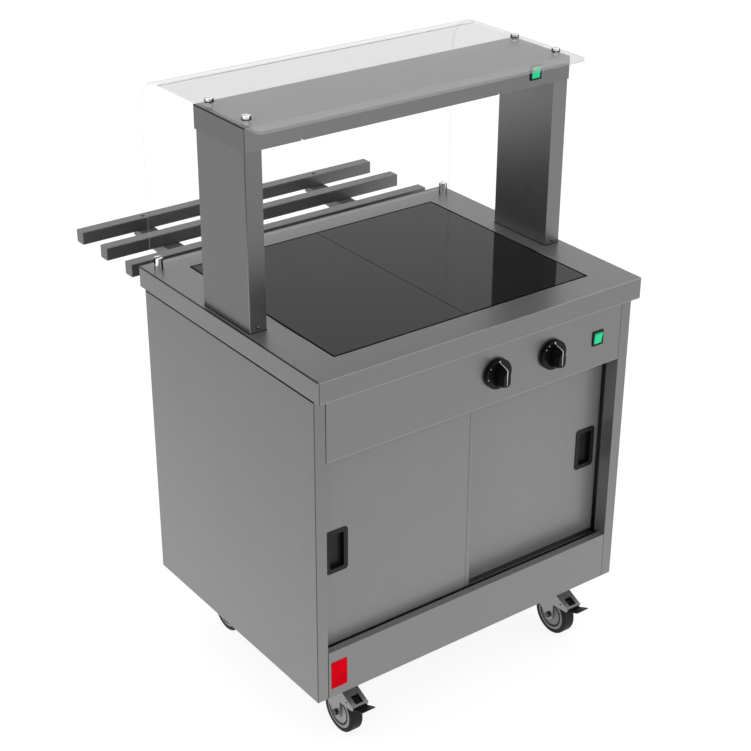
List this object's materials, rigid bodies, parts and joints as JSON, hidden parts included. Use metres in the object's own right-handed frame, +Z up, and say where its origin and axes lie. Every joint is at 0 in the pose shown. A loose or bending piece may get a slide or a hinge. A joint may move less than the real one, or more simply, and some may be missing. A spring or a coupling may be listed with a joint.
{
  "type": "hot cupboard servery counter",
  "caption": "Mobile stainless steel hot cupboard with sliding doors, ceramic hot top, heated gantry, bent glass screen, tray slide and braked castors.",
  "frame": {"origin": "centre of the bounding box's bottom, on the floor under the wheels", "axes": "+X to the right seen from the operator's side with the doors, +Y from the operator's side to the tray slide, +Z up"},
  "size_m": [0.825, 0.9926, 1.3363],
  "materials": {
    "stainless": "satin brushed stainless steel",
    "liner_steel": "bright rolled stainless steel",
    "chassis_steel": "dull galvanised steel",
    "hot_ceramic": "polished black glass ceramic",
    "black_seal": "matt silicone",
    "heater_mat": "moulded silicone mat",
    "element_sheath": "heat-stained sheath",
    "thermostat": "moulded body",
    "switch_black": "moulded black",
    "rocker_green": "translucent green",
    "knob_black": "moulded black with a white pointer",
    "pull_black": "moulded black",
    "reflector": "polished",
    "holder_ceramic": "unglazed",
    "chromed": "polished",
    "zinc_plate": "zinc-plated pressed steel",
    "wheel_grey": "moulded grey",
    "tyre_black": "matt rubber",
    "pedal_black": "moulded black",
    "badge_red": "satin red",
    "screen_glass": "clear toughened glass",
    "lamp_quartz": "clear quartz"
  },
  "bodies": {
    "counter": {"worktop": "stainless", "side_panel_left": "stainless", "side_panel_right": "stainless", "back_panel": "stainless", "plinth_panel": "stainless", "control_fascia": "stainless", "door_track_top": "stainless", "door_track_bottom": "stainless", "shelf_supports": "stainless", "gantry_upright_left": "stainless", "gantry_upright_right": "stainless", "gantry_header": "stainless", "tray_rails": "stainless", "tray_brackets": "stainless", "ceramic_plates": "hot_ceramic", "plate_seal": "black_seal", "heater_mats": "heater_mat", "chassis_base": "chassis_steel", "cupboard_liner": "liner_steel", "cupboard_floor": "liner_steel", "cupboard_ceiling": "liner_steel", "heating_element": "element_sheath", "thermostats": "thermostat", "switch_bodies": "switch_black", "lamp_reflector": "reflector", "heat_lamps": "lamp_quartz", "lamp_holders": "holder_ceramic", "glass_screen": "screen_glass", "glass_standoffs": "chromed", "glass_pegs": "chromed", "badge_plate": "badge_red", "fixing_screws": "chromed", "castor_plates": "zinc_plate"},
    "door_left": {"door_left": "stainless", "door_pull_left": "pull_black"},
    "door_right": {"door_right": "stainless", "door_pull_right": "pull_black"},
    "shelf": {"cupboard_shelf": "stainless"},
    "knob_left": {"control_knob_left": "knob_black"},
    "knob_right": {"control_knob_right": "knob_black"},
    "fascia_rocker": {"fascia_rocker": "rocker_green"},
    "gantry_rocker": {"gantry_rocker": "rocker_green"},
    "castor_front_left": {"castor_fork_front_left": "zinc_plate", "castor_axle_front_left": "zinc_plate"},
    "wheel_front_left": {"castor_wheel_front_left": "wheel_grey", "castor_tyre_front_left": "tyre_black"},
    "castor_front_right": {"castor_fork_front_right": "zinc_plate", "castor_axle_front_right": "zinc_plate"},
    "wheel_front_right": {"castor_wheel_front_right": "wheel_grey", "castor_tyre_front_right": "tyre_black"},
    "castor_rear_left": {"castor_fork_rear_left": "zinc_plate", "castor_axle_rear_left": "zinc_plate"},
    "wheel_rear_left": {"castor_wheel_rear_left": "wheel_grey", "castor_tyre_rear_left": "tyre_black"},
    "castor_rear_right": {"castor_fork_rear_right": "zinc_plate", "castor_axle_rear_right": "zinc_plate"},
    "wheel_rear_right": {"castor_wheel_rear_right": "wheel_grey", "castor_tyre_rear_right": "tyre_black"},
    "brake_left": {"brake_pedal_left": "pedal_black"},
    "brake_right": {"brake_pedal_right": "pedal_black"}
  },
  "joints": [
    {"name": "door_left_slide", "type": "slide", "parent": "counter", "child": "door_left", "axis": [1, 0, 0], "range_m": [0, 0.374]},
    {"name": "door_right_slide", "type": "slide", "parent": "counter", "child": "door_right", "axis": [-1, 0, 0], "range_m": [0, 0.374]},
    {"name": "shelf_lift", "type": "slide", "parent": "counter", "child": "shelf", "axis": [0, 0, 1], "range_m": [0, 0.12]},
    {"name": "knob_left_turn", "type": "hinge", "parent": "counter", "child": "knob_left", "pos_m": [0.039, -0.4623, 0.778], "axis": [0, 1, 0], "range_deg": [0, 270]},
    {"name": "knob_right_turn", "type": "hinge", "parent": "counter", "child": "knob_right", "pos_m": [0.188, -0.4623, 0.778], "axis": [0, 1, 0], "range_deg": [0, 270]},
    {"name": "fascia_rocker_tilt", "type": "hinge", "parent": "counter", "child": "fascia_rocker", "pos_m": [0.3175, -0.4623, 0.778], "axis": [1, 0, 0], "range_deg": [-18, 0]},
    {"name": "gantry_rocker_tilt", "type": "hinge", "parent": "counter", "child": "gantry_rocker", "pos_m": [0.3088, -0.2373, 1.30157], "axis": [1, 0, 0], "range_deg": [-18, 0]},
    {"name": "castor_swivel_front_left", "type": "hinge", "parent": "counter", "child": "castor_front_left", "pos_m": [-0.3025, -0.3728, 0.128], "axis": [0, 0, 1], "continuous": true},
    {"name": "wheel_spin_front_left", "type": "hinge", "parent": "castor_front_left", "child": "wheel_front_left", "pos_m": [-0.3025, -0.4023, 0.05], "axis": [1, 0, 0], "continuous": true},
    {"name": "castor_swivel_front_right", "type": "hinge", "parent": "counter", "child": "castor_front_right", "pos_m": [0.3025, -0.3728, 0.128], "axis": [0, 0, 1], "continuous": true},
    {"name": "wheel_spin_front_right", "type": "hinge", "parent": "castor_front_right", "child": "wheel_front_right", "pos_m": [0.3025, -0.4023, 0.05], "axis": [1, 0, 0], "continuous": true},
    {"name": "castor_swivel_rear_left", "type": "hinge", "parent": "counter", "child": "castor_rear_left", "pos_m": [-0.3025, 0.0822, 0.128], "axis": [0, 0, 1], "continuous": true},
    {"name": "wheel_spin_rear_left", "type": "hinge", "parent": "castor_rear_left", "child": "wheel_rear_left", "pos_m": [-0.3025, 0.0527, 0.05], "axis": [1, 0, 0], "continuous": true},
    {"name": "castor_swivel_rear_right", "type": "hinge", "parent": "counter", "child": "castor_rear_right", "pos_m": [0.3025, 0.0822, 0.128], "axis": [0, 0, 1], "continuous": true},
    {"name": "wheel_spin_rear_right", "type": "hinge", "parent": "castor_rear_right", "child": "wheel_rear_right", "pos_m": [0.3025, 0.0527, 0.05], "axis": [1, 0, 0], "continuous": true},
    {"name": "brake_press_left", "type": "hinge", "parent": "castor_front_left", "child": "brake_left", "pos_m": [-0.3025, -0.4398, 0.098], "axis": [1, 0, 0], "range_deg": [0, 10]},
    {"name": "brake_press_right", "type": "hinge", "parent": "castor_front_right", "child": "brake_right", "pos_m": [0.3025, -0.4398, 0.098], "axis": [1, 0, 0], "range_deg": [0, 10]}
  ]
}
